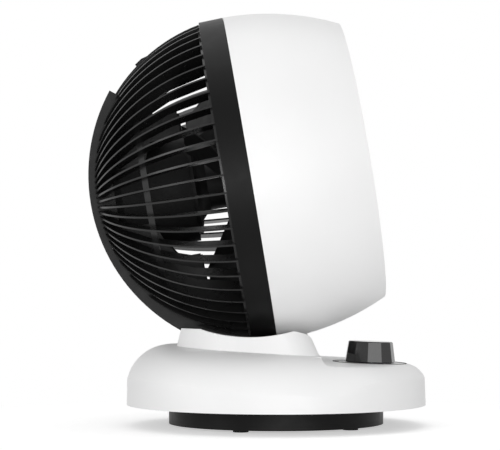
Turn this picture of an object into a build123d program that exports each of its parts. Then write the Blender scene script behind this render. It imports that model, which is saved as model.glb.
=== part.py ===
from build123d import *
from math import cos, degrees, pi, radians, sin, sqrt, tan
import os

# Air circulator fan: a tilting globe head on a round turntable base.
# Millimetres.  +X is the side the air leaves, +Z is up, and the origin is on the table, on the axis
# about which the base swings over its foot.

# ---------------------------------------------------------------- driving sizes: head
REST_TILT = 9.6  # upward tilt of the head as modelled, degrees
PIVOT_X = -8.7  # tilt axis, which runs along Y
PIVOT_LEAD = 13.3  # tilt axis ahead of the dome centre, along the fan axis
SEAM_R = 136.9  # head radius at the seam between white shroud and black band
SHROUD_LENGTH = 94.5
SHROUD_MID = SHROUD_LENGTH - 45.5
SHROUD_MID_R = SEAM_R - 5.1
MOUTH_R = SEAM_R - 20.7  # outer radius of the front rim
SHROUD_WALL = 2.7
LIP_DEPTH = 5.0
LIP_HEIGHT = 2.8
BAND_LENGTH = 20.6
BAND_TAPER = 0.8
BAND_WALL = 4.6
SEAM_GAP = 0.4
SPIGOT_LENGTH = 6.0
FIT = 0.2  # radial clearance of parts that plug together
ROOT = 1.0  # depth by which ribs, vanes and webs run into what carries them
SEAT_GAP = 0.3  # gap left between parts that only lie close

# ---------------------------------------------------------------- driving sizes: rear grille
RIB_COUNT = 60
RIB_WIDTH = 1.5
RIB_DEPTH = 7.0
RIB_INNER_CHORDS = 4
DOME_EDGE_R = SEAM_R - BAND_TAPER  # dome radius next to the band
DOME_MID_R = DOME_EDGE_R - 2.4  # at half height
POLE_R = DOME_EDGE_R - 3.2  # near its pole
RIB_START = 14.0  # polar angle where the ribs start, degrees from the pole
RIM_WALL = 4.4
RIM_START = -22.4
RIM_END = -10.0
HOOP_AT = -83.0
HOOP_WIDTH = 5.0
HOOP_DEPTH = 3.0
TRACK_SINK = 0.2  # track inside the pole of the dome
TRACK_R = POLE_R + PIVOT_LEAD - TRACK_SINK  # running surface of the track, about the tilt axis
TRACK_LOW_Z = 62.4  # lowest point of the track
PIVOT_Z = TRACK_LOW_Z + TRACK_R
TRACK_HALF = 37.0
TRACK_DEPTH = 46.7  # side walls of the track, inward from the dome
TRACK_CORE_R = 90.0  # inner end of the track's sketches, about the tilt axis, inside the side walls
TRACK_SKIN = 2.9
TRACK_WALL = 2.5
TRACK_TOP = -37.8  # ends of the track, degrees below the pole, seen from the tilt axis
TRACK_FOOT = 84.0
RIB_CUT_FOOT = 110.0  # ribs are cut at the track as far as this, past the band
SLOT_TOP = -27.0
SLOT_FOOT = 71.0
SLOT_HALF = 4.5
BOSS_ANGLE = 56.0  # small stop boss on the top rib, polar angle
BOSS_HEIGHT = 2.6
BOSS_HALF_ANGLE = 1.5
BOSS_TAIL_ANGLE = 9.0
BOSS_HALF = 4.0

# ---------------------------------------------------------------- driving sizes: air path
DUCT_R = MOUTH_R - 0.2
DUCT_WALL = 2.2
DUCT_REAR = -8.0
DUCT_FRONT = SHROUD_LENGTH - 15.5
BELL_R = 12.0
GRILLE_DEPTH = 7.0
GRILLE_RIM_WALL = 3.4
VANE_COUNT = 44
VANE_WIDTH = 1.6
VANE_SWEEP = 34.0  # angle of each straight vane to the radius at the cap
GRILLE_HOOP_R = 76.0
GRILLE_HOOP_WIDTH = 2.0
CAP_R = 30.0
CAP_THICK = 3.5
CAP_EDGE = 1.0

# ---------------------------------------------------------------- driving sizes: motor and impeller
POD_R = 44.0
POD_STANDOFF = 14.7  # pod's back inside the ribs
POD_REAR = POD_STANDOFF + RIB_DEPTH - DOME_MID_R
POD_FRONT = -49.0
END_PLATE_FRONT = -54.5
POD_WALL = 2.4
POD_BEVEL = 6.0
POD_WEB_HALF = 30.0
STATOR_REAR = POD_REAR + 14.0
STATOR_FRONT = -66.0
ROTOR_R = 21.0
AIR_GAP = 0.6
SHAFT_R = 4.0
SHAFT_REAR = POD_REAR + 5.0
SHAFT_FRONT = 3.0
SHAFT_FIT = 0.05
SHAFT_NUT_R = 7.5
SHAFT_TAIL = 1.0
PLATE_BORE_R = 5.5  # hole of the motor end plate round the shaft
BEARING_R = 11.0
BEARING_WIDTH = 7.0
BLADE_COUNT = 3
TIP_GAP = 3.5
TIP_R = DUCT_R - TIP_GAP
HUB_R = 20.0
HUB_REAR = -52.0
HUB_FRONT = -4.0
BACKPLATE_R = 38.0  # disc behind the hub, in the mouth of the motor pod
BACKPLATE_THICK = 6.5
BLADE_THICKNESS = 2.0
BLADE_CAMBER = 0.06  # share of the chord
# blade sections at three radii: leading edge (side, ahead) and trailing edge (side, ahead)
BLADE_ROOT_R = 16.0
BLADE_ROOT = ((-8.0, -15.0), (9.0, -7.3))
BLADE_MID_R = 64.0
BLADE_MID = ((-24.0, -47.5), (28.0, -5.0))
BLADE_TIP = ((-47.0, -47.2), (28.0, -2.6))
BLADE_SWEEP_FRONT = -50.0  # nothing fixed stands ahead of this within reach of the blades
IMPELLER_TURN = 58.6  # angle at which the first blade stands, degrees

# ---------------------------------------------------------------- driving sizes: base
BASE_R = 125.0
BASE_DRAFT = 2.4  # radius lost over the height of the base and collar
BASE_BOTTOM = 17.7
TOP_Z = 62.3  # height of the sloping top over the origin
TOP_SLOPE = 3.6  # degrees, falling to the front
SHOULDER = 18.0
SHOULDER_STRIPS = 5  # rounded edges of the base are drawn in this many flat strips
STRIP_MARGIN = 1.0  # lowest strip starts this far outside the wall, and so cuts it all round
TERRACE_Z = 52.4  # control terrace at the knob
TERRACE_SLOPE = 2.0
TERRACE_EDGE = 9.0
TERRACE_STRIPS = 4
TERRACE_WALL = 3.6
TERRACE_BOSS_Z = 50.0
REAR_BOSS_Z = 64.5
CORNER_SCREW = 10.0
SCREW_END = 1.0  # screw shorter than its hole
STEP_X = 35.0
STEP_FILLET = 6.0
SHELL_WALL = 3.0
CAVITY_BEVEL = 0.6  # bevel inside, as a share of the round outside
COLLAR_FOOT_Z = 59.2
COLLAR_TOP_Z = 82.0
COLLAR_REAR = -84.0
COLLAR_FRONT = 34.9
COLLAR_REAR_LEAN = 0.26  # mm inward for each mm up
COLLAR_FRONT_LEAN = 0.445
COLLAR_SIDE_LEAN = 0.17
COLLAR_HALF = 75.8
COLLAR_CORNER = 26.0
CHEEK_R = SEAM_R - 6.4  # top edge of the cheeks, about the dome centre
CRADLE_GAP = 1.4  # cradle to dome
TRACK_GAP = 0.4  # cradle to track
CRADLE_SPAN = 36.0  # width of the cradle, degrees each side, and the strips it is drawn in
CRADLE_STRIPS = 5

# ---------------------------------------------------------------- driving sizes: control knob
KNOB_X = BASE_R - 46.5
KNOB_R = 21.1
KNOB_TOP_R = 18.6
KNOB_HEIGHT = 17.4
KNOB_GAP = 0.5
KNOB_FLUTES = 12
KNOB_WALL = 2.2
DIAL_R = 31.0
DIAL_THICK = 1.2
SPINDLE_R = 3.0
SPINDLE_SINK = 8.0
SPINDLE_PROUD = 12.0
KNOB_EDGE = 0.7
FLUTE_R = 6.0
FLUTE_DEPTH = 0.9

SWITCH_SIDE = 22.0
SWITCH_HEIGHT = 12.0
SWITCH_BUSH_R = 4.3
SWITCH_NUT_R = 7.5
SWITCH_NUT_HEIGHT = 2.2

# ---------------------------------------------------------------- driving sizes: tilt clamp
CLAMP_ANGLE = 23.0  # clamp behind the lowest point of the track, degrees
SHOE_HALF_ANGLE = 5.5
SHOE_HALF = 22.0
SHOE_THICK = 2.8
CLAMP_HEAD_R = 9.0
CLAMP_HEAD = 2.4
CLAMP_BOLT_R = 3.5
CLAMP_BOSS_R = 11.0
CLAMP_BOSS_END = TRACK_R + 17.0
CLAMP_FLOOR = 1.6
SPRING_R = 9.0
SPRING_STACK = 8.0
CLAMP_NUT_R = 6.5
CLAMP_NUT_HEIGHT = 5.0
CLAMP_TAIL = 2.0

# ---------------------------------------------------------------- driving sizes: foot and drive
FOOT_R = 89.7
FOOT_THICK = 14.4
FOOT_SKIN = 3.0
FOOT_EDGE = 1.0
POST_FLANGE_R = 16.0
POST_FLANGE = 2.0
PAD_R = 6.3
PAD_PROUD = 2.0
PAD_SINK = 1.5
PAD_RING = 78.0
PAD_COUNT = 5
PAD_TURN = -112.0
POST_R = 10.0
POST_FIT = 0.05
SLIP_RING_R = 66.0
SLIP_RING_WIDTH = 9.0
SLIP_RING_HEIGHT = 1.5
BASE_PLATE = 2.5
BUSH_WALL = 4.0
BUSH_FLANGE = 2.0
BUSH_HEIGHT = 6.9
GEAR_LIFT = 0.2
GEAR_SEAT_R = 8.0
BOLT_R = 2.5
BOLT_HEAD_R = 5.5
BOLT_HEAD = 3.6
WASHER_R = 11.0
WASHER_THICK = 1.5
GEAR_TEETH = 42
PINION_TEETH = 14
MODULE = 1.5
GEAR_THICK = 5.0
TOOTH_ADDENDUM = 0.8  # in modules
TOOTH_DEDENDUM = 1.25
TOOTH_FLANK = 69.0  # slope of the straight flanks, degrees
TOOTH_SINK = 0.1  # teeth start this far inside the root circle
BACKLASH = 0.5
PINION_TURN = 12.857  # half a tooth, so that teeth and gaps meet
OSC_POST = 14.0
PLATE_SCREW_HEAD = 1.2
MOTOR_SHAFT_R = 3.0
OSC_MOTOR_R = 24.0
OSC_MOTOR_HEIGHT = 15.0
OSC_PLATE = 1.2
OSC_EAR = 29.0  # fixing screws from the gear motor's centre
OSC_POST_R = 4.0
SCREW_R = 1.5
SCREW_HEAD_R = 3.0
SCREW_HEAD = 2.0
CORNER_BOSS_R = 5.0
CORNER_BOSS_RING = BASE_R - 25.0
CORNER_ANGLE = 45.0
BOARD_X = 18.0
BOARD_Y = -52.0
BOARD_LENGTH = 62.0
BOARD_WIDTH = 38.0
BOARD_THICK = 1.6
BOARD_POST = 5.0
CAPACITOR_X = -52.0
CAPACITOR_Y = -52.0
CAPACITOR_LENGTH = 38.0
CAPACITOR_WIDTH = 16.0
CAPACITOR_HEIGHT = 26.0
INLET_Z = 33.0
INLET_R = 7.0
INLET_BORE = 3.6
INLET_FLANGE = 9.5
INLET_FLANGE_THICK = 2.0

# ---------------------------------------------------------------- planes and axes
TILT = radians(REST_TILT)
FORWARD = Vector(cos(TILT), 0, sin(TILT))
PIVOT = Vector(PIVOT_X, 0, PIVOT_Z)
DOME = PIVOT - FORWARD * PIVOT_LEAD
MERIDIAN = Plane(origin=DOME, x_dir=FORWARD, z_dir=(0, -1, 0))  # x ahead along the fan axis, y up
FAN_AXIS = Axis(DOME, FORWARD)
TILT_AXIS = Axis(PIVOT, (0, -1, 0))
PIVOT_PLANE = Plane(origin=PIVOT, x_dir=FORWARD, z_dir=(0, -1, 0))


def across(ahead):
    """Plane square to the fan axis, so far ahead of the dome centre; its y axis points up."""
    return Plane(origin=DOME + FORWARD * ahead, x_dir=(0, 1, 0), z_dir=FORWARD)


def dome_point(polar, radius):
    """Point of the meridian plane at a polar angle from the pole, above the fan axis."""
    return (-radius * cos(radians(polar)), radius * sin(radians(polar)))


def track_sketch(inner, outer, top, foot):
    """Sector about the tilt axis, on PIVOT_PLANE, between two angles below the pole."""
    ends = [(-r * cos(radians(a)), -r * sin(radians(a))) for a in (top, foot) for r in (inner, outer)]
    with BuildSketch(PIVOT_PLANE) as sector:
        with BuildLine():
            CenterArc((0, 0), outer, 180 + top, foot - top)
            Line(ends[3], ends[2])
            CenterArc((0, 0), inner, 180 + top, foot - top)
            Line(ends[0], ends[1])
        make_face()
    return sector.sketch


def dome_at(ahead, radius):
    """Point of a circle about the dome centre, so far ahead of it, above the fan axis."""
    return (ahead, sqrt(radius**2 - ahead**2))


def screw(head_radius, head_height, radius, length):
    """Pan-head screw with its head's underside at the origin, pointing down."""
    with BuildPart() as body:
        Cylinder(head_radius, head_height, align=(Align.CENTER, Align.CENTER, Align.MIN))
        Cylinder(radius, length, align=(Align.CENTER, Align.CENTER, Align.MAX))
    return body.part


def finish(part, name):
    """Label a finished piece and write it."""
    part.label = name
    export_step(part, "parts/" + name + ".step")


os.makedirs("parts", exist_ok=True)

# ================================================================ head: white shroud
with BuildPart() as shroud:
    with BuildSketch(MERIDIAN):
        with BuildLine():
            ThreePointArc((0, SEAM_R), (SHROUD_MID, SHROUD_MID_R), (SHROUD_LENGTH, MOUTH_R))
            Line((SHROUD_LENGTH, MOUTH_R), (SHROUD_LENGTH, MOUTH_R - LIP_HEIGHT))
            Line((SHROUD_LENGTH, MOUTH_R - LIP_HEIGHT), (SHROUD_LENGTH - LIP_DEPTH, MOUTH_R - LIP_HEIGHT))
            Line(
                (SHROUD_LENGTH - LIP_DEPTH, MOUTH_R - LIP_HEIGHT),
                (SHROUD_LENGTH - LIP_DEPTH, MOUTH_R + LIP_DEPTH / 2 - SHROUD_WALL),
            )
            Polyline(
                (SHROUD_LENGTH - LIP_DEPTH, MOUTH_R + LIP_DEPTH / 2 - SHROUD_WALL),
                (SHROUD_MID, SHROUD_MID_R - SHROUD_WALL),
                (SPIGOT_LENGTH + 2 * DUCT_WALL, SEAM_R - SHROUD_WALL),
                (0, SEAM_R - SHROUD_WALL),
                (0, SEAM_R),
            )
        make_face()
    revolve(axis=FAN_AXIS)
finish(shroud.part, "shroud")

# ================================================================ head: black band behind the seam
BAND_INNER = SEAM_R - BAND_WALL
with BuildPart() as band_ring:
    with BuildSketch(MERIDIAN):
        with BuildLine():
            Polyline(
                (-BAND_LENGTH, SEAM_R - BAND_TAPER),
                (-SEAM_GAP, SEAM_R),
                (-SEAM_GAP, SEAM_R - SHROUD_WALL - FIT),
                (SPIGOT_LENGTH, SEAM_R - SHROUD_WALL - FIT),
                (SPIGOT_LENGTH, BAND_INNER),
                (-BAND_LENGTH, BAND_INNER),
                close=True,
            )
        make_face()
    revolve(axis=FAN_AXIS)
finish(band_ring.part, "band_ring")

# ================================================================ head: rear grille with its track
RIB_FOOT = -BAND_LENGTH - SEAT_GAP
RIM_R = BAND_INNER - FIT
RIB_INNER_R = DOME_MID_R - RIB_DEPTH
rib_reach = 90 - RIB_START + degrees(RIB_FOOT / RIB_INNER_R)
chord_step = rib_reach / RIB_INNER_CHORDS

with BuildPart() as rib:  # stands in the plane of local X and the fan axis, which is local Z
    with BuildSketch(Plane.XZ):
        back = [
            dome_point(RIB_START, POLE_R),
            dome_point(RIB_START + rib_reach / 2, DOME_MID_R),
            dome_at(RIB_FOOT, DOME_EDGE_R),
        ]
        inside = [dome_point(RIB_START + n * chord_step, RIB_INNER_R) for n in range(RIB_INNER_CHORDS)]
        inside.append(dome_at(RIB_FOOT, RIB_INNER_R))
        with BuildLine():
            ThreePointArc(*[(radial, ahead) for ahead, radial in back])
            Polyline(*[(radial, ahead) for ahead, radial in [back[2]] + inside[::-1] + [back[0]]])
        make_face()
    extrude(amount=RIB_WIDTH / 2, both=True)

with BuildPart(across(0)) as rear_grille:
    with PolarLocations(0, RIB_COUNT):
        add(rib.part)
    # ribs stop at the side walls of the track
    extrude(
        track_sketch(TRACK_CORE_R, TRACK_R + RIB_DEPTH, TRACK_TOP, RIB_CUT_FOOT),
        TRACK_HALF - TRACK_WALL / 2,
        both=True,
        mode=Mode.SUBTRACT,
    )
    # track: a hollow keel from behind the band, over the pole, to its upper end, with deep side walls
    # that leave room for the blades
    with BuildSketch(MERIDIAN):
        add(MERIDIAN.to_local_coords(track_sketch(TRACK_CORE_R, TRACK_R, TRACK_TOP, TRACK_FOOT)))
        Circle(DOME_MID_R - TRACK_DEPTH, mode=Mode.SUBTRACT)
        with Locations((BLADE_SWEEP_FRONT, 0)):
            Rectangle(SEAM_R, 2 * DUCT_R, align=(Align.MIN, Align.CENTER), mode=Mode.SUBTRACT)
        with Locations((RIB_FOOT, 0)):
            Rectangle(
                3 * BAND_LENGTH,
                2 * (SEAM_R + SEAT_GAP),
                align=(Align.MIN, Align.CENTER),
                mode=Mode.SUBTRACT,
            )
    extrude(amount=TRACK_HALF, both=True)
    end_angle = degrees(TRACK_WALL / TRACK_R)
    extrude(
        track_sketch(TRACK_CORE_R, TRACK_R - TRACK_SKIN, TRACK_TOP + end_angle, TRACK_FOOT - end_angle),
        TRACK_HALF - TRACK_WALL,
        both=True,
        mode=Mode.SUBTRACT,
    )
    extrude(
        track_sketch(TRACK_R - 2 * TRACK_SKIN, TRACK_R + TRACK_SKIN, SLOT_TOP, SLOT_FOOT),
        SLOT_HALF,
        both=True,
        mode=Mode.SUBTRACT,
    )
    # rim that plugs into the band, and the hoop that ties the ribs
    with BuildSketch(MERIDIAN):
        with Locations((RIM_START, RIM_R)):
            Rectangle(RIM_END - RIM_START, RIM_WALL, align=(Align.MIN, Align.MAX))
        hoop_rear = dome_at(HOOP_AT - HOOP_WIDTH / 2, RIB_INNER_R)
        hoop_front = dome_at(HOOP_AT + HOOP_WIDTH / 2, RIB_INNER_R)
        with BuildLine():
            Polyline(
                (hoop_rear[0], hoop_rear[1] + ROOT),
                (hoop_front[0], hoop_front[1] + ROOT),
                (hoop_front[0], hoop_front[1] - HOOP_DEPTH),
                (hoop_rear[0], hoop_rear[1] - HOOP_DEPTH),
                close=True,
            )
        make_face()
    revolve(axis=FAN_AXIS)
    # the two webs that carry the motor pod between the track's side walls
    with BuildSketch(MERIDIAN):
        with Locations((POD_REAR, 0)):
            Rectangle(RIB_INNER_R + POD_REAR + ROOT, 2 * POD_WEB_HALF, align=(Align.MAX, Align.CENTER))
    extrude(amount=TRACK_HALF, both=True)
    with BuildSketch(PIVOT_PLANE):
        Circle(TRACK_R - TRACK_SKIN)
        with Locations((POD_REAR - PIVOT_LEAD, 0)):
            Rectangle(TRACK_R, 3 * POD_WEB_HALF, align=(Align.MAX, Align.CENTER), mode=Mode.INTERSECT)
    extrude(amount=TRACK_HALF - TRACK_WALL, both=True, mode=Mode.SUBTRACT)
    with BuildSketch(across(POD_REAR)):
        Circle(POD_R + FIT)
    extrude(amount=-POD_REAR, mode=Mode.SUBTRACT)
    # stop boss on the top rib
    with BuildSketch(MERIDIAN):
        with BuildLine():
            Polyline(
                dome_point(BOSS_ANGLE - BOSS_HALF_ANGLE, DOME_MID_R - RIB_WIDTH),
                dome_point(BOSS_ANGLE - BOSS_HALF_ANGLE, DOME_MID_R + BOSS_HEIGHT),
                dome_point(BOSS_ANGLE + BOSS_HALF_ANGLE, DOME_MID_R + BOSS_HEIGHT),
                dome_point(BOSS_ANGLE + BOSS_TAIL_ANGLE, DOME_MID_R - RIB_WIDTH),
                close=True,
            )
        make_face()
    extrude(amount=BOSS_HALF, both=True)
finish(rear_grille.part, "rear_grille")

# ================================================================ head: duct ring
with BuildPart() as duct_ring:
    with BuildSketch(MERIDIAN):
        flange_r = SEAM_R - SHROUD_WALL - 2 * FIT
        with BuildLine():
            Polyline(
                (SPIGOT_LENGTH, DUCT_R),
                (DUCT_FRONT, DUCT_R),
                (DUCT_FRONT, DUCT_R + DUCT_WALL),
                (SPIGOT_LENGTH + DUCT_WALL, DUCT_R + DUCT_WALL),
                (SPIGOT_LENGTH + DUCT_WALL, flange_r),
                (SPIGOT_LENGTH, flange_r),
                (SPIGOT_LENGTH, DUCT_R + 2 * DUCT_WALL),
                (DUCT_REAR, DUCT_R + BELL_R + DUCT_WALL),
                (DUCT_REAR, DUCT_R + BELL_R),
                close=True,
            )
        make_face()
    revolve(axis=FAN_AXIS)
finish(duct_ring.part, "duct_ring")

# ================================================================ head: front grille and its cap
GRILLE_R = MOUTH_R + SEAT_GAP
with BuildPart() as front_grille:
    with BuildSketch(across(DUCT_FRONT)):
        Circle(GRILLE_R)
        Circle(GRILLE_R - GRILLE_RIM_WALL, mode=Mode.SUBTRACT)
        with PolarLocations(CAP_R - ROOT, VANE_COUNT):
            with Locations(Location((0, 0, 0), (0, 0, VANE_SWEEP))):
                sweep = radians(VANE_SWEEP)
                reach = GRILLE_R - GRILLE_RIM_WALL / 2
                inner = CAP_R - ROOT
                vane = sqrt(reach**2 - (inner * sin(sweep)) ** 2) - inner * cos(sweep)
                Rectangle(vane, VANE_WIDTH, align=(Align.MIN, Align.CENTER))
        Circle(CAP_R)
        with BuildSketch(mode=Mode.PRIVATE) as hoop:
            Circle(GRILLE_HOOP_R)
            Circle(GRILLE_HOOP_R - GRILLE_HOOP_WIDTH, mode=Mode.SUBTRACT)
        add(hoop.sketch)
    extrude(amount=GRILLE_DEPTH)
    with BuildSketch(across(DUCT_FRONT)):
        Circle(CAP_R - GRILLE_RIM_WALL)
    extrude(amount=GRILLE_DEPTH / 2, mode=Mode.SUBTRACT)
finish(front_grille.part, "front_grille")

with BuildPart() as front_cap:
    with BuildSketch(MERIDIAN):
        cap_seat = DUCT_FRONT + GRILLE_DEPTH
        Polygon(
            (cap_seat, 0),
            (cap_seat, CAP_R - CAP_EDGE),
            (cap_seat + CAP_THICK - CAP_EDGE, CAP_R - CAP_EDGE),
            (cap_seat + CAP_THICK, CAP_R - 2 * CAP_EDGE),
            (cap_seat + CAP_THICK, 0),
            align=None,
        )
    revolve(axis=FAN_AXIS)
finish(front_cap.part, "front_cap")

# ================================================================ head: motor in its pod
with BuildPart() as motor_cover:
    with BuildSketch(MERIDIAN):
        with BuildLine():
            Polyline(
                (POD_REAR, 0),
                (POD_REAR, POD_R - POD_BEVEL),
                (POD_REAR + POD_BEVEL, POD_R),
                (POD_FRONT, POD_R),
                (POD_FRONT, POD_R - POD_WALL),
                (POD_REAR + POD_BEVEL, POD_R - POD_WALL),
                (POD_REAR + POD_WALL, POD_R - POD_BEVEL),
                (POD_REAR + POD_WALL, BEARING_R + POD_WALL),
                (POD_REAR + POD_WALL + BEARING_WIDTH, BEARING_R + POD_WALL),
                (POD_REAR + POD_WALL + BEARING_WIDTH, BEARING_R),
                (POD_REAR + POD_WALL, BEARING_R),
                (POD_REAR + POD_WALL, 0),
                (POD_REAR, 0),
            )
        make_face()
    revolve(axis=FAN_AXIS)
finish(motor_cover.part, "motor_cover")

PLATE_R = POD_R - POD_WALL - FIT
PLATE_REAR = END_PLATE_FRONT - POD_WALL
with BuildPart() as motor_end_plate:
    with BuildSketch(MERIDIAN):
        with BuildLine():
            Polyline(
                (END_PLATE_FRONT, PLATE_R),
                (END_PLATE_FRONT, PLATE_BORE_R),
                (PLATE_REAR, PLATE_BORE_R),
                (PLATE_REAR, BEARING_R),
                (PLATE_REAR - BEARING_WIDTH, BEARING_R),
                (PLATE_REAR - BEARING_WIDTH, BEARING_R + POD_WALL),
                (PLATE_REAR, BEARING_R + POD_WALL),
                (PLATE_REAR, PLATE_R),
                close=True,
            )
        make_face()
    revolve(axis=FAN_AXIS)
finish(motor_end_plate.part, "motor_end_plate")

with BuildPart() as motor_bearings:
    for rear in (POD_REAR + POD_WALL, PLATE_REAR - BEARING_WIDTH):
        with BuildSketch(across(rear)):
            Circle(BEARING_R)
            Circle(SHAFT_R + SHAFT_FIT, mode=Mode.SUBTRACT)
        extrude(amount=BEARING_WIDTH)
finish(motor_bearings.part, "motor_bearings")

with BuildPart() as motor_stator:
    with BuildSketch(across(STATOR_REAR)):
        Circle(PLATE_R)
        Circle(ROTOR_R + AIR_GAP, mode=Mode.SUBTRACT)
    extrude(amount=STATOR_FRONT - STATOR_REAR)
finish(motor_stator.part, "motor_stator")

with BuildPart() as motor_rotor:
    with BuildSketch(across(STATOR_REAR)):
        Circle(ROTOR_R)
        Circle(SHAFT_R, mode=Mode.SUBTRACT)
    extrude(amount=STATOR_FRONT - STATOR_REAR)
finish(motor_rotor.part, "motor_rotor")

with BuildPart() as fan_shaft:
    with BuildSketch(across(SHAFT_REAR)):
        Circle(SHAFT_R)
    extrude(amount=SHAFT_FRONT - SHAFT_REAR)
finish(fan_shaft.part, "fan_shaft")

# ================================================================ impeller
def blade_section(radius, edges):
    """Cambered blade section, square to the radius; x runs round the axis and y along it."""
    leading, trailing = [Vector(*edge) for edge in edges]
    chord = trailing - leading
    normal = Vector(-chord.Y, chord.X).normalized()
    rear_middle = (leading + trailing) / 2 + normal * BLADE_CAMBER * chord.length
    front_middle = rear_middle + normal * BLADE_THICKNESS
    with BuildSketch(Plane(origin=(radius, 0, 0), x_dir=(0, 1, 0), z_dir=(1, 0, 0))) as section:
        with BuildLine():
            ThreePointArc(leading, rear_middle, trailing)
            ThreePointArc(trailing, front_middle, leading)
        make_face()
    return section.sketch


with BuildPart() as blade:  # stands along local X, with the fan axis as local Z
    loft(
        sections=[
            blade_section(BLADE_ROOT_R, BLADE_ROOT),
            blade_section(BLADE_MID_R, BLADE_MID),
            blade_section(TIP_R, BLADE_TIP),
        ],
        ruled=True,
    )
    with BuildSketch(Plane.XY.offset(HUB_REAR)):
        Circle(TIP_R)
    extrude(amount=-2 * HUB_REAR, mode=Mode.INTERSECT)

with BuildPart(across(0)) as impeller:
    with BuildSketch(across(HUB_REAR)):
        Circle(HUB_R)
    extrude(amount=HUB_FRONT - HUB_REAR)
    with BuildSketch(across(HUB_REAR)):
        Circle(BACKPLATE_R)
    extrude(amount=BACKPLATE_THICK)
    with PolarLocations(0, BLADE_COUNT, start_angle=IMPELLER_TURN):
        add(blade.part)
    with BuildSketch(across(HUB_REAR)):
        Circle(SHAFT_R)
    extrude(amount=2 * (HUB_FRONT - HUB_REAR), mode=Mode.SUBTRACT)
finish(impeller.part, "impeller")

with BuildPart() as impeller_nut:
    with BuildSketch(across(HUB_FRONT)):
        RegularPolygon(SHAFT_NUT_R, 6)
        Circle(SHAFT_R, mode=Mode.SUBTRACT)
    extrude(amount=SHAFT_FRONT - HUB_FRONT - SHAFT_TAIL)
finish(impeller_nut.part, "impeller_nut")

# ================================================================ base: white shell with its cradle
TOP = Plane(origin=(0, 0, TOP_Z), z_dir=(sin(radians(TOP_SLOPE)), 0, cos(radians(TOP_SLOPE))))
TERRACE = Plane(
    origin=(KNOB_X, 0, TERRACE_Z),
    z_dir=(sin(radians(TERRACE_SLOPE)), 0, cos(radians(TERRACE_SLOPE))),
)
BASE_INNER = BASE_R - SHELL_WALL
PLATE_Z = PAD_PROUD + FOOT_THICK + SLIP_RING_HEIGHT
PLATE_TOP = PLATE_Z + BASE_PLATE


def drum(radius, top_plane, edge, strips):
    """Drafted drum from the bottom rim up to a sloping top, whose edge is rounded in flat strips."""
    slope = top_plane.z_dir
    height = top_plane.origin.Z + top_plane.origin.X * slope.X / slope.Z
    rim = radius - BASE_DRAFT * (height - edge - BASE_BOTTOM) / (COLLAR_TOP_Z - BASE_BOTTOM) + STRIP_MARGIN
    turns = [radians(90 * n / strips) for n in range(strips + 1)]
    with BuildPart() as body:
        with BuildSketch(Plane.XZ):
            Polygon(
                (0, BASE_BOTTOM),
                (radius, BASE_BOTTOM),
                (radius - BASE_DRAFT, COLLAR_TOP_Z),
                (0, COLLAR_TOP_Z),
                align=None,
            )
        revolve(axis=Axis.Z)
        with BuildSketch(Plane(origin=(0, 0, height), x_dir=Vector(0, 1, 0).cross(slope), z_dir=(0, -1, 0))):
            with BuildLine():
                Polyline(
                    (0, 0),
                    *[(rim - edge + edge * sin(turn), edge * cos(turn) - edge) for turn in turns],
                    (2 * radius, -edge),
                    (2 * radius, -COLLAR_TOP_Z),
                    (0, -COLLAR_TOP_Z),
                    close=True,
                )
            make_face()
        revolve(axis=Axis((0, 0, height), slope), mode=Mode.INTERSECT)
    return body.part


def terrace_height(x, lower=0.0):
    """Height of the terrace plane, or of a plane so far beneath it."""
    return TERRACE_Z - lower - (x - KNOB_X) * sin(radians(TERRACE_SLOPE))


def collar_rectangle(z):
    """Rounded outline of the collar at a height."""
    rise = z - COLLAR_FOOT_Z
    rear = COLLAR_REAR + COLLAR_REAR_LEAN * rise
    front = COLLAR_FRONT - COLLAR_FRONT_LEAN * rise
    half = COLLAR_HALF - COLLAR_SIDE_LEAN * rise
    with BuildSketch(Plane.XY.offset(z)) as outline:
        with Locations(((rear + front) / 2, 0)):
            RectangleRounded(front - rear, 2 * half, COLLAR_CORNER)
    return outline.sketch


CLAMP_TURN = radians(CLAMP_ANGLE)
CLAMP = Plane(origin=PIVOT, x_dir=(0, 1, 0), z_dir=(-sin(CLAMP_TURN), 0, -cos(CLAMP_TURN)))
CRADLE_TRACK_R = TRACK_R + TRACK_GAP

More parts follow.
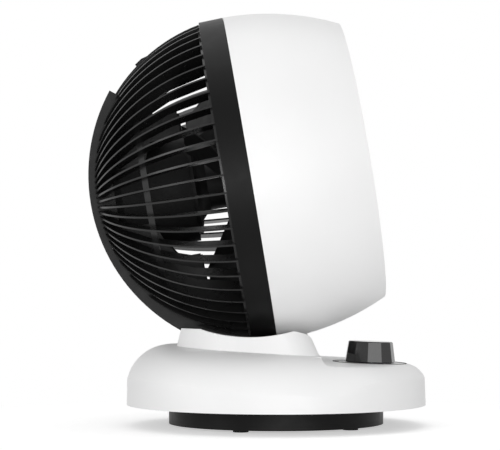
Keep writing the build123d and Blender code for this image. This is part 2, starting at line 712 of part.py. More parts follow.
with BuildPart() as base_shell:
    # rear part of the base, higher, ending in a step at the control terrace
    with BuildSketch(Plane.XZ):
        step_z = terrace_height(STEP_X)
        with BuildLine():
            Polyline(
                (STEP_X, step_z + STEP_FILLET),
                (STEP_X, COLLAR_TOP_Z),
                (-BASE_R, COLLAR_TOP_Z),
                (-BASE_R, 0),
                (STEP_X + STEP_FILLET, 0),
                (STEP_X + STEP_FILLET, step_z),
            )
            TangentArc((STEP_X + STEP_FILLET, step_z), (STEP_X, step_z + STEP_FILLET), tangent=(-1, 0))
        make_face()
    extrude(amount=BASE_R, both=True)
    add(drum(BASE_R, TOP, SHOULDER, SHOULDER_STRIPS), mode=Mode.INTERSECT)
    add(drum(BASE_R, TERRACE, TERRACE_EDGE, TERRACE_STRIPS))
    # collar whose hollow top cradles the head
    loft(sections=[collar_rectangle(COLLAR_FOOT_Z), collar_rectangle(COLLAR_TOP_Z)])
    with BuildSketch(MERIDIAN):
        Circle(CHEEK_R)
    extrude(amount=BASE_R, both=True, mode=Mode.SUBTRACT)
    with BuildSketch(Plane(origin=PIVOT, x_dir=(0, 1, 0), z_dir=(1, 0, 0))):
        cradle_r = DOME_MID_R + CRADLE_GAP
        turns = [radians(CRADLE_SPAN * n / CRADLE_STRIPS) for n in range(-CRADLE_STRIPS, CRADLE_STRIPS + 1)]
        with BuildLine():
            Polyline(
                (-cradle_r * sin(turns[-1]), 0),
                *[(cradle_r * sin(turn), -PIVOT_LEAD - cradle_r * cos(turn)) for turn in turns],
                (cradle_r * sin(turns[-1]), 0),
                close=True,
            )
        make_face()
    revolve(axis=TILT_AXIS, mode=Mode.SUBTRACT)
    with BuildSketch(PIVOT_PLANE):
        Circle(CRADLE_TRACK_R)
    extrude(amount=TRACK_HALF + TRACK_GAP, both=True, mode=Mode.SUBTRACT)
    # boss that carries the tilt clamp's spring
    with BuildSketch(CLAMP.offset(CRADLE_TRACK_R + CLAMP_FLOOR)):
        Circle(CLAMP_BOSS_R)
    extrude(amount=CLAMP_BOSS_END - CRADLE_TRACK_R - CLAMP_FLOOR)
    # hollow underneath
    with BuildPart(mode=Mode.PRIVATE) as rear_hollow:
        add(drum(BASE_INNER, TOP.offset(-SHELL_WALL), SHOULDER * CAVITY_BEVEL, 1))
        split(bisect_by=Plane.YZ.offset(STEP_X - SHELL_WALL), keep=Keep.BOTTOM)
        with BuildSketch(CLAMP.offset(TRACK_R)):
            Circle(CLAMP_BOSS_R)
        extrude(amount=CLAMP_BOSS_END - TRACK_R, mode=Mode.SUBTRACT)
    add(rear_hollow.part, mode=Mode.SUBTRACT)
    add(
        drum(BASE_INNER, TERRACE.offset(-TERRACE_WALL), TERRACE_EDGE * CAVITY_BEVEL, 1),
        mode=Mode.SUBTRACT,
    )
    # corner bosses for the base plate's screws, tall under the rear and short under the terrace
    for middle, boss_top in ((0, TERRACE_BOSS_Z), (180, REAR_BOSS_Z)):
        with BuildSketch(Plane.XY.offset(PLATE_TOP)):
            for corner in (middle - CORNER_ANGLE, middle + CORNER_ANGLE):
                with PolarLocations(CORNER_BOSS_RING, 1, start_angle=corner):
                    Circle(CORNER_BOSS_R)
        extrude(amount=boss_top - PLATE_TOP)
    with BuildSketch(Plane.XY.offset(PLATE_TOP)):
        with PolarLocations(CORNER_BOSS_RING, 4, start_angle=CORNER_ANGLE):
            Circle(SCREW_R)
    extrude(amount=CORNER_SCREW, mode=Mode.SUBTRACT)
    # clamp bolt hole, dial recess, spindle hole and cord inlet hole
    with BuildSketch(CLAMP.offset(TRACK_R - TRACK_SKIN)):
        Circle(CLAMP_BOLT_R + FIT)
    extrude(amount=CLAMP_BOSS_END - TRACK_R + 2 * TRACK_SKIN, mode=Mode.SUBTRACT)
    with BuildSketch(TERRACE):
        Circle(DIAL_R)
    extrude(amount=-DIAL_THICK, mode=Mode.SUBTRACT)
    with BuildSketch(TERRACE):
        Circle(SWITCH_BUSH_R + FIT)
    extrude(amount=-2 * TERRACE_WALL, mode=Mode.SUBTRACT)
    with BuildSketch(Plane.YZ.offset(-BASE_R)):
        with Locations((0, INLET_Z)):
            Circle(INLET_R)
    extrude(amount=3 * SHELL_WALL, mode=Mode.SUBTRACT)
finish(base_shell.part, "base_shell")

# ================================================================ base: dial plate, switch and knob
with BuildPart() as dial_plate:
    with BuildSketch(TERRACE.offset(-DIAL_THICK)):
        Circle(DIAL_R - FIT)
        Circle(SWITCH_BUSH_R + FIT, mode=Mode.SUBTRACT)
    extrude(amount=DIAL_THICK)
finish(dial_plate.part, "dial_plate")

with BuildPart() as speed_switch:
    with BuildSketch(TERRACE.offset(-TERRACE_WALL - SWITCH_HEIGHT)):
        Rectangle(SWITCH_SIDE, SWITCH_SIDE)
    extrude(amount=SWITCH_HEIGHT)
    with BuildSketch(TERRACE.offset(-TERRACE_WALL)):
        Circle(SWITCH_BUSH_R)
    extrude(amount=TERRACE_WALL + SWITCH_NUT_HEIGHT)
    with BuildSketch(TERRACE.offset(-TERRACE_WALL - SPINDLE_SINK)):
        Circle(SPINDLE_R + SHAFT_FIT)
    extrude(amount=2 * SWITCH_HEIGHT, mode=Mode.SUBTRACT)
finish(speed_switch.part, "speed_switch")

with BuildPart() as switch_nut:
    with BuildSketch(TERRACE):
        RegularPolygon(SWITCH_NUT_R, 6)
        Circle(SWITCH_BUSH_R, mode=Mode.SUBTRACT)
    extrude(amount=SWITCH_NUT_HEIGHT)
finish(switch_nut.part, "switch_nut")

with BuildPart() as switch_spindle:
    with BuildSketch(TERRACE.offset(-TERRACE_WALL - SPINDLE_SINK + SHAFT_FIT)):
        Circle(SPINDLE_R)
    extrude(amount=TERRACE_WALL + SPINDLE_SINK - SHAFT_FIT + SPINDLE_PROUD)
finish(switch_spindle.part, "switch_spindle")

with BuildPart() as control_knob:
    with BuildSketch(TERRACE.offset(KNOB_GAP)):
        Circle(KNOB_R)
    with BuildSketch(TERRACE.offset(KNOB_HEIGHT)):
        Circle(KNOB_TOP_R)
    loft()
    chamfer(control_knob.faces().sort_by(Axis.Z)[-1].edges(), KNOB_EDGE)
    lean = degrees((KNOB_R - KNOB_TOP_R) / KNOB_HEIGHT)
    with Locations(TERRACE):
        with PolarLocations(KNOB_R + FLUTE_R - FLUTE_DEPTH, KNOB_FLUTES):
            with Locations(Location((0, 0, 0), (0, -lean, 0))):
                Cylinder(
                    FLUTE_R,
                    2 * KNOB_HEIGHT,
                    mode=Mode.SUBTRACT,
                )
    with BuildSketch(TERRACE.offset(KNOB_GAP)):
        Circle(KNOB_TOP_R - KNOB_WALL)
    extrude(amount=SWITCH_NUT_HEIGHT + KNOB_WALL, mode=Mode.SUBTRACT)
    with BuildSketch(TERRACE):
        Circle(SPINDLE_R)
    extrude(amount=SPINDLE_PROUD, mode=Mode.SUBTRACT)
finish(control_knob.part, "control_knob")

# ================================================================ base: tilt clamp
clamp_seat = TRACK_R - TRACK_SKIN - SEAT_GAP
shoe_polar = 90 - REST_TILT - CLAMP_ANGLE
with BuildPart() as tilt_shoe:
    extrude(
        track_sketch(
            clamp_seat - SHOE_THICK, clamp_seat, shoe_polar - SHOE_HALF_ANGLE, shoe_polar + SHOE_HALF_ANGLE
        ),
        SHOE_HALF,
        both=True,
    )
    with BuildSketch(CLAMP.offset(clamp_seat - 2 * SHOE_THICK)):
        Circle(CLAMP_BOLT_R)
    extrude(amount=4 * SHOE_THICK, mode=Mode.SUBTRACT)
    with BuildSketch(CLAMP.offset(clamp_seat - 2 * SHOE_THICK)):
        Circle(CLAMP_HEAD_R)
    extrude(amount=SHOE_THICK, mode=Mode.SUBTRACT)
finish(tilt_shoe.part, "tilt_shoe")

nut_seat = CLAMP_BOSS_END + SPRING_STACK
with BuildPart() as tilt_bolt:
    with BuildSketch(CLAMP.offset(clamp_seat - SHOE_THICK - CLAMP_HEAD)):
        Circle(CLAMP_HEAD_R)
    extrude(amount=CLAMP_HEAD)
    with BuildSketch(CLAMP.offset(clamp_seat - SHOE_THICK)):
        Circle(CLAMP_BOLT_R)
    extrude(amount=nut_seat + CLAMP_NUT_HEIGHT + CLAMP_TAIL - clamp_seat + SHOE_THICK)
finish(tilt_bolt.part, "tilt_bolt")

with BuildPart() as tilt_springs:  # stack of disc springs, pressed flat
    with BuildSketch(CLAMP.offset(CLAMP_BOSS_END)):
        Circle(SPRING_R)
        Circle(CLAMP_BOLT_R + FIT, mode=Mode.SUBTRACT)
    extrude(amount=SPRING_STACK)
finish(tilt_springs.part, "tilt_springs")

with BuildPart() as tilt_nut:
    with BuildSketch(CLAMP.offset(nut_seat)):
        RegularPolygon(CLAMP_NUT_R, 6)
        Circle(CLAMP_BOLT_R, mode=Mode.SUBTRACT)
    extrude(amount=CLAMP_NUT_HEIGHT)
finish(tilt_nut.part, "tilt_nut")

# ================================================================ base: bottom plate and bush
MOTOR_Y = MODULE * (GEAR_TEETH + PINION_TEETH) / 2
OSC_SEAT = PLATE_TOP + OSC_POST
with BuildPart() as base_plate:
    with BuildSketch(Plane.XY.offset(PLATE_Z)):
        Circle(BASE_INNER - BASE_DRAFT * (PLATE_TOP - BASE_BOTTOM) / (COLLAR_TOP_Z - BASE_BOTTOM) - FIT)
        Circle(POST_R + POST_FIT + BUSH_WALL, mode=Mode.SUBTRACT)
        with PolarLocations(CORNER_BOSS_RING, 4, start_angle=CORNER_ANGLE):
            Circle(SCREW_R, mode=Mode.SUBTRACT)
    extrude(amount=BASE_PLATE)
    with BuildSketch(Plane.XY.offset(PLATE_TOP)):
        with Locations((-OSC_EAR, MOTOR_Y), (OSC_EAR, MOTOR_Y)):
            Circle(OSC_POST_R)
    extrude(amount=OSC_POST)
    with BuildSketch(Plane.XY.offset(PLATE_TOP)):
        with Locations((BOARD_X, BOARD_Y)):
            with GridLocations(BOARD_LENGTH - BOARD_POST, BOARD_WIDTH - BOARD_POST, 2, 2):
                Circle(BOARD_POST / 2)
    extrude(amount=BOARD_POST)
finish(base_plate.part, "base_plate")

with BuildPart() as turntable_bush:
    with BuildSketch(Plane.XZ):
        Polygon(
            (POST_R + POST_FIT, PLATE_Z),
            (POST_R + POST_FIT + BUSH_WALL, PLATE_Z),
            (POST_R + POST_FIT + BUSH_WALL, PLATE_TOP),
            (POST_R + POST_FIT + 2 * BUSH_WALL, PLATE_TOP),
            (POST_R + POST_FIT + 2 * BUSH_WALL, PLATE_TOP + BUSH_FLANGE),
            (POST_R + POST_FIT + BUSH_WALL, PLATE_TOP + BUSH_FLANGE),
            (POST_R + POST_FIT + BUSH_WALL, PLATE_Z + BUSH_HEIGHT),
            (POST_R + POST_FIT, PLATE_Z + BUSH_HEIGHT),
            align=None,
        )
    revolve(axis=Axis.Z)
finish(turntable_bush.part, "turntable_bush")

with BuildPart() as base_screws:
    with PolarLocations(CORNER_BOSS_RING, 4, start_angle=CORNER_ANGLE):
        with Locations(Location((0, 0, PLATE_Z), (180, 0, 0))):
            add(screw(SCREW_HEAD_R, PLATE_SCREW_HEAD, SCREW_R, BASE_PLATE + CORNER_SCREW - SCREW_END))
finish(base_screws.part, "base_screws")

# ================================================================ base: oscillation gear motor
with BuildPart() as osc_motor:
    with BuildSketch(Plane.XY.offset(OSC_SEAT)):
        with Locations((0, MOTOR_Y)):
            SlotOverall(2 * (OSC_EAR + OSC_POST_R + 1), 2 * (OSC_POST_R + 1))
    extrude(amount=OSC_PLATE)
    with BuildSketch(Plane.XY.offset(OSC_SEAT)):
        with Locations((0, MOTOR_Y)):
            Circle(OSC_MOTOR_R)
    extrude(amount=OSC_MOTOR_HEIGHT)
    with BuildSketch(Plane.XY.offset(OSC_SEAT)):
        with Locations((0, MOTOR_Y)):
            Circle(MOTOR_SHAFT_R + SHAFT_FIT)
    extrude(amount=OSC_MOTOR_HEIGHT / 2, mode=Mode.SUBTRACT)
finish(osc_motor.part, "osc_motor")

with BuildPart() as osc_screws:
    with Locations((-OSC_EAR, MOTOR_Y, OSC_SEAT + OSC_PLATE), (OSC_EAR, MOTOR_Y, OSC_SEAT + OSC_PLATE)):
        Cylinder(SCREW_HEAD_R, SCREW_HEAD, align=(Align.CENTER, Align.CENTER, Align.MIN))
finish(osc_screws.part, "osc_screws")

with BuildPart() as control_board:
    with BuildSketch(Plane.XY.offset(PLATE_TOP + BOARD_POST)):
        with Locations((BOARD_X, BOARD_Y)):
            Rectangle(BOARD_LENGTH, BOARD_WIDTH)
    extrude(amount=BOARD_THICK)
    with BuildSketch(Plane.XY.offset(PLATE_TOP + BOARD_POST + BOARD_THICK)):
        with Locations((BOARD_X - BOARD_LENGTH / 4, BOARD_Y)):
            Rectangle(BOARD_LENGTH / 4, BOARD_WIDTH / 2)
    extrude(amount=BOARD_WIDTH / 4)
    with BuildSketch(Plane.XY.offset(PLATE_TOP + BOARD_POST + BOARD_THICK)):
        with Locations((BOARD_X + BOARD_LENGTH / 4, BOARD_Y)):
            with GridLocations(BOARD_LENGTH / 6, BOARD_WIDTH / 3, 2, 2):
                Circle(BOARD_POST / 2)
    extrude(amount=BOARD_WIDTH / 5)
finish(control_board.part, "control_board")

with BuildPart() as run_capacitor:
    with BuildSketch(Plane.XY.offset(PLATE_TOP)):
        with Locations((CAPACITOR_X, CAPACITOR_Y)):
            RectangleRounded(CAPACITOR_LENGTH, CAPACITOR_WIDTH, CAPACITOR_WIDTH / 6)
    extrude(amount=CAPACITOR_HEIGHT)
finish(run_capacitor.part, "run_capacitor")

inlet_face = BASE_R - BASE_DRAFT * (INLET_Z - BASE_BOTTOM) / (COLLAR_TOP_Z - BASE_BOTTOM)
inlet_inside = sqrt((inlet_face - SHELL_WALL) ** 2 - INLET_FLANGE**2) - SEAT_GAP
with BuildPart() as cord_inlet:
    with BuildSketch(Plane.YZ.offset(-inlet_inside + INLET_FLANGE_THICK)):
        with Locations((0, INLET_Z)):
            Circle(INLET_FLANGE)
    extrude(amount=-INLET_FLANGE_THICK)
    with BuildSketch(Plane.YZ.offset(-inlet_inside)):
        with Locations((0, INLET_Z)):
            Circle(INLET_R)
    extrude(amount=inlet_inside - inlet_face)
    with BuildSketch(Plane.YZ.offset(-BASE_R)):
        with Locations((0, INLET_Z)):
            Circle(INLET_BORE)
    extrude(amount=BASE_R / 4, mode=Mode.SUBTRACT)
finish(cord_inlet.part, "cord_inlet")

# ================================================================ foot
FOOT_TOP = PAD_PROUD + FOOT_THICK
with BuildPart() as foot_plate:
    with BuildSketch(Plane.XZ):
        Polygon(
            (POST_R, FOOT_TOP),
            (FOOT_R - FOOT_EDGE, FOOT_TOP),
            (FOOT_R, FOOT_TOP - FOOT_EDGE),
            (FOOT_R, PAD_PROUD),
            (FOOT_R - FOOT_SKIN, PAD_PROUD),
            (FOOT_R - FOOT_SKIN, FOOT_TOP - FOOT_SKIN),
            (POST_FLANGE_R, FOOT_TOP - FOOT_SKIN),
            (POST_FLANGE_R, PAD_PROUD + FOOT_SKIN),
            (POST_R, PAD_PROUD + FOOT_SKIN),
            align=None,
        )
    revolve(axis=Axis.Z)
    with BuildSketch(Plane.XY.offset(PAD_PROUD)):
        with PolarLocations(PAD_RING, PAD_COUNT, start_angle=PAD_TURN):
            Circle(PAD_R + FOOT_SKIN / 2)
        with PolarLocations(POST_R + FOOT_SKIN, PAD_COUNT, start_angle=PAD_TURN):
            Rectangle(
                PAD_RING - PAD_R - POST_R - FOOT_SKIN,
                FOOT_SKIN * 2 / 3,
                align=(Align.MIN, Align.CENTER),
            )
    extrude(amount=FOOT_THICK - FOOT_SKIN)
    with BuildSketch(Plane.XY.offset(PAD_PROUD)):
        with PolarLocations(PAD_RING, PAD_COUNT, start_angle=PAD_TURN):
            Circle(PAD_R)
    extrude(amount=PAD_SINK, mode=Mode.SUBTRACT)
    with BuildSketch(Plane.XY.offset(PAD_PROUD)):
        Circle(POST_FLANGE_R)
    extrude(amount=FOOT_SKIN, mode=Mode.SUBTRACT)
finish(foot_plate.part, "foot_plate")

with BuildPart() as foot_pads:
    with BuildSketch(Plane.XY):
        with PolarLocations(PAD_RING, PAD_COUNT, start_angle=PAD_TURN):
            Circle(PAD_R)
    extrude(amount=PAD_PROUD + PAD_SINK)
finish(foot_pads.part, "foot_pads")

with BuildPart() as slip_ring:
    with BuildSketch(Plane.XY.offset(FOOT_TOP)):
        Circle(SLIP_RING_R)
        Circle(SLIP_RING_R - SLIP_RING_WIDTH, mode=Mode.SUBTRACT)
    extrude(amount=SLIP_RING_HEIGHT)
finish(slip_ring.part, "slip_ring")

GEAR_Z = PLATE_Z + BUSH_HEIGHT + GEAR_LIFT
with BuildPart() as pivot_post:
    with BuildSketch(Plane.XZ):
        Polygon(
            (0, PAD_PROUD + FOOT_SKIN - POST_FLANGE),
            (POST_FLANGE_R, PAD_PROUD + FOOT_SKIN - POST_FLANGE),
            (POST_FLANGE_R, PAD_PROUD + FOOT_SKIN),
            (POST_R, PAD_PROUD + FOOT_SKIN),
            (POST_R, GEAR_Z),
            (GEAR_SEAT_R, GEAR_Z),
            (GEAR_SEAT_R, GEAR_Z + GEAR_THICK),
            (BOLT_R, GEAR_Z + GEAR_THICK),
            (BOLT_R, FOOT_TOP),
            (0, FOOT_TOP),
            align=None,
        )
    revolve(axis=Axis.Z)
finish(pivot_post.part, "pivot_post")


def spur_gear(teeth, bore, centre, bottom):
    """Spur gear with straight-flanked teeth, thinned by the backlash."""
    pitch_r = MODULE * teeth / 2
    tooth_foot = MODULE * (pi / 2 + 2 * TOOTH_DEDENDUM * tan(radians(90 - TOOTH_FLANK))) - BACKLASH
    with BuildPart() as gear:
        with BuildSketch(Plane.XY.offset(bottom)):
            with Locations(centre):
                Circle(pitch_r - TOOTH_DEDENDUM * MODULE + TOOTH_SINK)
                with PolarLocations(pitch_r - TOOTH_DEDENDUM * MODULE, teeth):
                    with Locations(Location((0, 0, 0), (0, 0, -90))):
                        Trapezoid(
                            tooth_foot,
                            (TOOTH_ADDENDUM + TOOTH_DEDENDUM) * MODULE,
                            TOOTH_FLANK,
                            align=(Align.CENTER, Align.MIN),
                        )
                Circle(bore, mode=Mode.SUBTRACT)
        extrude(amount=GEAR_THICK)
    return gear.part


foot_gear = spur_gear(GEAR_TEETH, GEAR_SEAT_R, (0, 0), GEAR_Z)
finish(foot_gear, "foot_gear")

with BuildPart() as post_washer:
    with BuildSketch(Plane.XY.offset(GEAR_Z + GEAR_THICK)):
        Circle(WASHER_R)
        Circle(BOLT_R, mode=Mode.SUBTRACT)
    extrude(amount=WASHER_THICK)
finish(post_washer.part, "post_washer")

with BuildPart() as post_bolt:
    with BuildSketch(Plane.XY.offset(GEAR_Z + GEAR_THICK + WASHER_THICK)):
        RegularPolygon(BOLT_HEAD_R, 6)
    extrude(amount=BOLT_HEAD)
    with BuildSketch(Plane.XY.offset(FOOT_TOP)):
        Circle(BOLT_R)
    extrude(amount=GEAR_Z + GEAR_THICK + WASHER_THICK - FOOT_TOP)
finish(post_bolt.part, "post_bolt")

# ================================================================ oscillation pinion
drive_pinion = spur_gear(PINION_TEETH, MOTOR_SHAFT_R, (0, MOTOR_Y), GEAR_Z)
drive_pinion = drive_pinion.rotate(Axis((0, MOTOR_Y, 0), (0, 0, 1)), PINION_TURN)
finish(drive_pinion, "drive_pinion")

with BuildPart() as drive_shaft:
    with BuildSketch(Plane.XY.offset(GEAR_Z)):
        with Locations((0, MOTOR_Y)):
            Circle(MOTOR_SHAFT_R)
    extrude(amount=OSC_SEAT + OSC_MOTOR_HEIGHT / 3 - GEAR_Z)
finish(drive_shaft.part, "drive_shaft")
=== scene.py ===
import math

import bmesh
import bpy
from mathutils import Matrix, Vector


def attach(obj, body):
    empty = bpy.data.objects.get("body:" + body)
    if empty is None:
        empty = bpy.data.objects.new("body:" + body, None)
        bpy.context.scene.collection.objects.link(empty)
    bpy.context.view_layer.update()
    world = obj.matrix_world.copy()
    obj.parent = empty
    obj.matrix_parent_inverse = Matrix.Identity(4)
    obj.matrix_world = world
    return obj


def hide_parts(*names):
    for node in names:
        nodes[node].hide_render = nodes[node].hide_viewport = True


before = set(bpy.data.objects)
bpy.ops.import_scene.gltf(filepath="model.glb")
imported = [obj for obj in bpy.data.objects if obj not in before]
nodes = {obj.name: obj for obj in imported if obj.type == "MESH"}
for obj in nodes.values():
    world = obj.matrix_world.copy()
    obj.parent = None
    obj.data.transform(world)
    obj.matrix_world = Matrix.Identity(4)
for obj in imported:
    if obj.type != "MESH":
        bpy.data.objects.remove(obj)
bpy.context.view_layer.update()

MM = 0.001
collection = bpy.context.scene.collection

# ---------------------------------------- sizes shared with the model, in mm
REST_TILT = math.radians(9.6)
FORWARD = Vector((math.cos(REST_TILT), 0, math.sin(REST_TILT)))
UP = Vector((-FORWARD.z, 0, FORWARD.x))
PIVOT = Vector((-8.7, 0, 208.4))
DOME = PIVOT - FORWARD * 13.3
TRACK_HALF_WIDTH = 37.4

BASE_R = 125.0
BASE_BOTTOM = 17.7
WALL_LEAN = 2.4 / 64.3
STEP_X = 35.0
REAR_TOP = 62.3
REAR_SLOPE = math.radians(3.6)

DIAL_X = 78.5
DIAL_TOP = 52.4
DIAL_LEAN = math.radians(2.0)
DIAL_R = 31.0
KNOB_GAP = 0.5
KNOB_STEP = math.radians(45.0)


# ---------------------------------------- material helpers
RAMP_ENDS = (0.35, 0.65)
NOISE_LOW = 0.3
NOISE_HIGH = 0.7
PATCH_SCALE = 6
FINE_SHARE = 0.35
BUMP_STRENGTH = 0.35


def new_material(name):
    mat = bpy.data.materials.new(name)
    mat.use_nodes = True
    tree = mat.node_tree
    tree.nodes.clear()
    return mat, tree


def add_node(tree, kind, **values):
    node = tree.nodes.new(kind)
    for key, value in values.items():
        setattr(node, key, value)
    return node


def set_inputs(node, **values):
    """Sets inputs by name, with _ for each space in the name."""
    for key, value in values.items():
        node.inputs[key.replace("_", " ")].default_value = value


def grey(value):
    return (value, value, value)


def object_coords(tree):
    return add_node(tree, "ShaderNodeTexCoord").outputs["Object"]


def colour_ramp(tree, factor, stops):
    ramp = add_node(tree, "ShaderNodeValToRGB")
    elements = ramp.color_ramp.elements
    for element, (position, colour) in zip(elements, stops):
        element.position = position
        element.color = (*colour, 1.0)
    tree.links.new(factor, ramp.inputs["Fac"])
    return ramp.outputs["Color"]


def noise(tree, vector, scale, detail, roughness=0.55):
    texture = add_node(tree, "ShaderNodeTexNoise")
    set_inputs(texture, Scale=scale, Detail=detail, Roughness=roughness)
    tree.links.new(vector, texture.inputs["Vector"])
    return texture.outputs["Fac"]


def spread(tree, factor, low, high):
    """Maps what a noise usually gives to a range."""
    node = add_node(tree, "ShaderNodeMapRange")
    set_inputs(node, From_Min=NOISE_LOW, From_Max=NOISE_HIGH, To_Min=low, To_Max=high)
    tree.links.new(factor, node.inputs["Value"])
    return node.outputs["Result"]


def rougher_middle(tree, gloss, extra):
    """Adds roughness within the width of the track, which is worn matt by its clamp."""
    split = add_node(tree, "ShaderNodeSeparateXYZ")
    tree.links.new(object_coords(tree), split.inputs[0])
    away = add_node(tree, "ShaderNodeMath", operation="ABSOLUTE")
    tree.links.new(split.outputs["Y"], away.inputs[0])
    inside = add_node(tree, "ShaderNodeMath", operation="LESS_THAN")
    inside.inputs[1].default_value = TRACK_HALF_WIDTH * MM
    tree.links.new(away.outputs[0], inside.inputs[0])
    total = add_node(tree, "ShaderNodeMath", operation="MULTIPLY_ADD")
    total.inputs[1].default_value = extra
    tree.links.new(inside.outputs[0], total.inputs[0])
    tree.links.new(gloss, total.inputs[2])
    return total.outputs[0]


def moulded(name, dark, light, rough, grain, grain_depth=0.02, wave=14.0, specular=0.5,
            metallic=0.0, stretch=None, matt_middle=0.0):
    """Plastic, rubber or metal: slow colour drift, a fine surface grain and an uneven gloss.

    grain and wave are noise scales, and grain_depth is the depth of the grain in mm.
    """
    mat, tree = new_material(name)
    out = add_node(tree, "ShaderNodeOutputMaterial")
    shader = add_node(tree, "ShaderNodeBsdfPrincipled")
    set_inputs(shader, Specular_IOR_Level=specular, Metallic=metallic)
    tree.links.new(shader.outputs["BSDF"], out.inputs["Surface"])
    coords = object_coords(tree)
    if stretch:
        mapping = add_node(tree, "ShaderNodeMapping")
        set_inputs(mapping, Scale=stretch)
        tree.links.new(coords, mapping.inputs["Vector"])
        coords = mapping.outputs["Vector"]

    drift = noise(tree, coords, wave, 2.0)
    colour = colour_ramp(tree, drift, list(zip(RAMP_ENDS, (dark, light))))
    tree.links.new(colour, shader.inputs["Base Color"])

    fine = noise(tree, coords, grain, 2.0, 0.6)
    patch = noise(tree, coords, wave * PATCH_SCALE, 3.0)
    mix = add_node(tree, "ShaderNodeMath", operation="MULTIPLY_ADD")
    mix.inputs[1].default_value = FINE_SHARE
    tree.links.new(fine, mix.inputs[0])
    tree.links.new(patch, mix.inputs[2])
    gloss = spread(tree, mix.outputs[0], *rough)
    if matt_middle:
        gloss = rougher_middle(tree, gloss, matt_middle)
    tree.links.new(gloss, shader.inputs["Roughness"])

    bump = add_node(tree, "ShaderNodeBump")
    set_inputs(bump, Strength=BUMP_STRENGTH, Distance=grain_depth * MM)
    tree.links.new(fine, bump.inputs["Height"])
    tree.links.new(bump.outputs["Normal"], shader.inputs["Normal"])
    return mat


# ---------------------------------------- materials
SHELL = moulded("shell_white", grey(0.835), grey(0.855), (0.36, 0.46),
                grain=1400.0, grain_depth=0.012, wave=9.0, specular=0.35)
DIAL = moulded("dial_white", grey(0.78), grey(0.80), (0.30, 0.40),
               grain=1800.0, grain_depth=0.01)
BAND = moulded("band_black", grey(0.0030), grey(0.0045), (0.34, 0.44),
               grain=1300.0, grain_depth=0.012, specular=0.12)
GRILLE = moulded("grille_black", grey(0.0030), grey(0.0050), (0.20, 0.30),
                 grain=1500.0, grain_depth=0.012, specular=0.40, matt_middle=0.40)
DUCT = moulded("duct_black", grey(0.0040), grey(0.0060), (0.50, 0.62),
               grain=1000.0, specular=0.12)
POD = moulded("pod_black", grey(0.0030), grey(0.0045), (0.48, 0.60),
              grain=1100.0, specular=0.10)
BLADE = moulded("blade_black", grey(0.0040), grey(0.0065), (0.42, 0.54),
                grain=1200.0, specular=0.14)
CAP = moulded("cap_black", grey(0.0050), grey(0.0070), (0.26, 0.36),
              grain=1500.0, grain_depth=0.01, specular=0.3)
KNOB = moulded("knob_black", grey(0.0050), grey(0.0080), (0.05, 0.09),
               grain=900.0, grain_depth=0.002)
FOOT = moulded("foot_black", grey(0.0040), grey(0.0060), (0.36, 0.48),
               grain=1100.0, specular=0.14)
RUBBER = moulded("pad_rubber", grey(0.010), grey(0.016), (0.62, 0.78),
                 grain=2200.0, grain_depth=0.03, specular=0.2)
NYLON = moulded("nylon", (0.72, 0.71, 0.66), (0.78, 0.77, 0.72), (0.38, 0.5), grain=1300.0)
PHENOLIC = moulded("switch_black", grey(0.02), grey(0.03), (0.4, 0.55), grain=1500.0)
STEEL = moulded("zinc_steel", (0.50, 0.51, 0.52), (0.60, 0.60, 0.61), (0.26, 0.42),
                grain=2600.0, wave=60.0, metallic=1.0, stretch=(1, 1, 6))
LAMINATE = moulded("stator_steel", (0.20, 0.20, 0.21), (0.30, 0.30, 0.31), (0.4, 0.6),
                   grain=3200.0, wave=40.0, metallic=1.0, stretch=(14, 1, 1))
BOARD = moulded("board_green", (0.03, 0.16, 0.07), (0.05, 0.22, 0.10), (0.25, 0.4),
                grain=2400.0, wave=120.0)
CASE = moulded("capacitor_grey", grey(0.05), grey(0.07), (0.35, 0.5), grain=1400.0)
MARK = moulded("mark_grey", grey(0.045), grey(0.06), (0.45, 0.6), grain=1600.0)
POINTER = moulded("pointer_white", grey(0.78), grey(0.82), (0.35, 0.45), grain=1600.0)

FINISHES = {
    SHELL: ["shroud", "base_shell"],
    DIAL: ["dial_plate", "cord_inlet"],
    BAND: ["band_ring"],
    GRILLE: ["rear_grille", "front_grille"],
    DUCT: ["duct_ring"],
    POD: ["motor_cover", "motor_end_plate"],
    BLADE: ["impeller"],
    CAP: ["front_cap", "impeller_nut"],
    KNOB: ["control_knob"],
    FOOT: ["foot_plate", "base_plate"],
    RUBBER: ["foot_pads"],
    NYLON: ["slip_ring", "turntable_bush", "tilt_shoe", "foot_gear", "drive_pinion"],
    PHENOLIC: ["speed_switch"],
    STEEL: ["pivot_post", "post_washer", "post_bolt", "base_screws", "osc_motor",
            "osc_screws", "switch_nut", "tilt_bolt", "tilt_springs", "tilt_nut",
            "drive_shaft", "switch_spindle", "motor_bearings", "fan_shaft"],
    LAMINATE: ["motor_stator", "motor_rotor"],
    BOARD: ["control_board"],
    CASE: ["run_capacitor"],
}
for material, names in FINISHES.items():
    for name in names:
        slots = nodes[name].material_slots
        if not slots:
            nodes[name].data.materials.append(material)
        for slot in slots:
            slot.material = material


# ---------------------------------------- mesh helpers
def place(radius, turn, height):
    """A point from its radius, its direction and its height."""
    return (radius * math.cos(turn), radius * math.sin(turn), height)


def turns_round(count):
    return [math.tau * step / count for step in range(count)]


def in_head(ahead, rise, across):
    """A point from its places along the fan axis, over it and beside it."""
    return DOME + FORWARD * ahead + UP * rise + Vector((0, across, 0))


def on_dial(point):
    """A point over the dial, in its own leaning axes."""
    x, y, z = point
    ahead = x * math.cos(DIAL_LEAN) + z * math.sin(DIAL_LEAN)
    rise = z * math.cos(DIAL_LEAN) - x * math.sin(DIAL_LEAN)
    return Vector((DIAL_X + ahead, y, DIAL_TOP + rise))


def face_outward(mesh):
    shape = bmesh.new()
    shape.from_mesh(mesh)
    bmesh.ops.recalc_face_normals(shape, faces=shape.faces)
    shape.to_mesh(mesh)
    shape.free()


